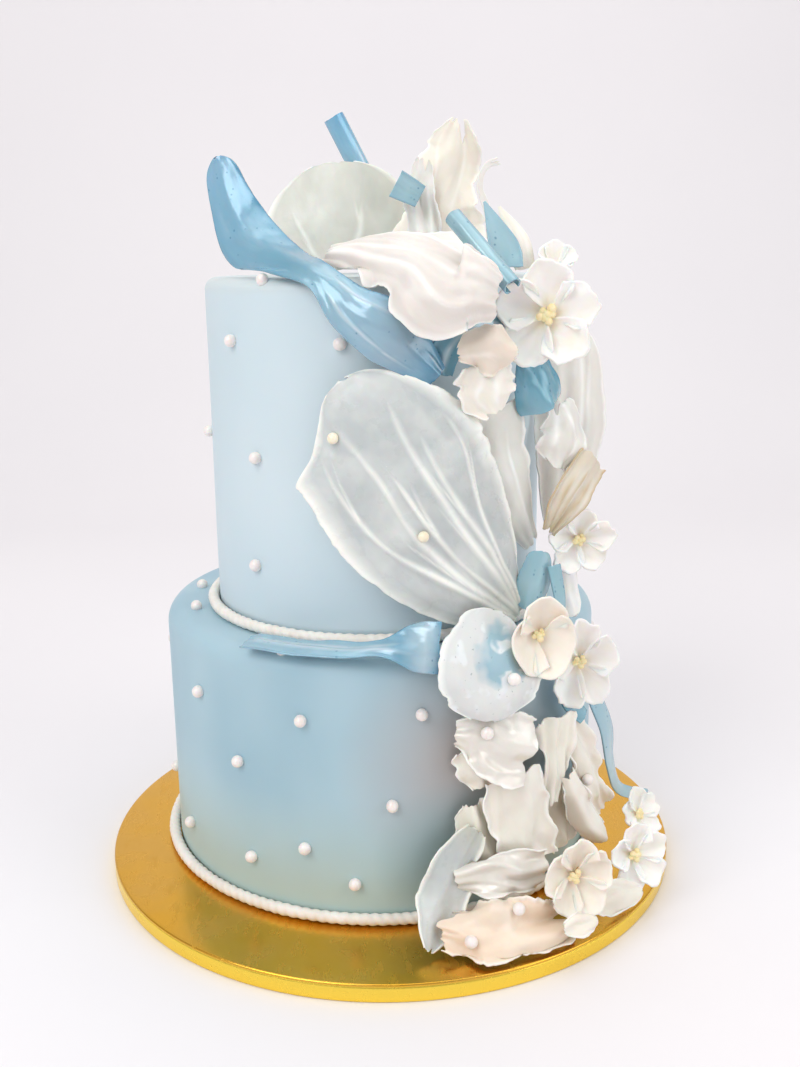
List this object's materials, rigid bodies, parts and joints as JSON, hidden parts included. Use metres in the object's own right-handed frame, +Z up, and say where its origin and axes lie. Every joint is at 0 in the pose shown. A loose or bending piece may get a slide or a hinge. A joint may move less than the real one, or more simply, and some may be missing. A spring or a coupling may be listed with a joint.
{
  "type": "tiered wedding cake",
  "caption": "Tiered wedding cake in pale blue icing on a gold foil drum, with pressed-in sugar pearls, piped borders and a cascade of sugar sheets, ribbons and flowers.",
  "frame": {"origin": "middle of the drum's underside", "axes": "+Z up, -Y toward the front that the cascade's main petal faces, +X toward the side the cascade runs down"},
  "size_m": [0.3, 0.3, 0.3868],
  "materials": {
    "gold_foil": "smooth gold foil over card",
    "blue_fondant": "satin rolled icing",
    "piped_icing": "matt piped royal icing",
    "blue_sugar": "glossy cast sugar with a pearl sheen",
    "white_sugar": "thin translucent sugar sheet, satin",
    "cream_sugar": "thin translucent sugar sheet, satin",
    "flower_paste": "matt modelling paste",
    "blush_paste": "matt modelling paste"
  },
  "bodies": {
    "root": {"back_flower": "flower_paste", "back_ruffle": "white_sugar", "base_sheet": "cream_sugar", "blue_leaf": "blue_sugar", "blue_strip": "blue_sugar", "blush_bloom": "blush_paste", "blush_crown": "blush_paste", "board": "gold_foil", "bottom_border": "piped_icing", "bottom_tier": "blue_fondant", "cream_backing": "cream_sugar", "cream_orchid": "blush_paste", "cream_shell": "cream_sugar", "crown_bud": "flower_paste", "crumpled_lobe": "cream_sugar", "dark_ribbon": "blue_sugar", "falling_ribbon": "blue_sugar", "feather": "cream_sugar", "flat_blade": "blue_sugar", "folded_sheet": "cream_sugar", "foot_flower": "flower_paste", "foot_orchid": "blush_paste", "front_petal": "flower_paste", "front_sail": "white_sugar", "glossy_leaf": "blue_sugar", "great_petal": "white_sugar", "hollow_sheet": "cream_sugar", "ledge_flower": "flower_paste", "ledge_ribbon": "blue_sugar", "left_chip": "white_sugar", "long_sheet": "white_sugar", "low_petal": "flower_paste", "middle_strip": "cream_sugar", "pearl_sail": "blue_sugar", "pearly_bag": "white_sugar", "pointed_sail": "cream_sugar", "ribbon_loop": "blue_sugar", "rolled_sheet": "white_sugar", "rolled_stick": "blue_sugar", "round_leaf": "white_sugar", "shell_crumple": "cream_sugar", "shoulder_flower": "flower_paste", "side_cup": "flower_paste", "side_flower": "flower_paste", "side_strip": "white_sugar", "small_tile": "blue_sugar", "tall_straw": "blue_sugar", "tan_pleats": "cream_sugar", "tendril": "white_sugar", "top_border": "piped_icing", "top_tier": "blue_fondant", "torn_sheet": "cream_sugar", "translucent_disc": "white_sugar", "yellow_leaf": "cream_sugar"}
  },
  "joints": []
}
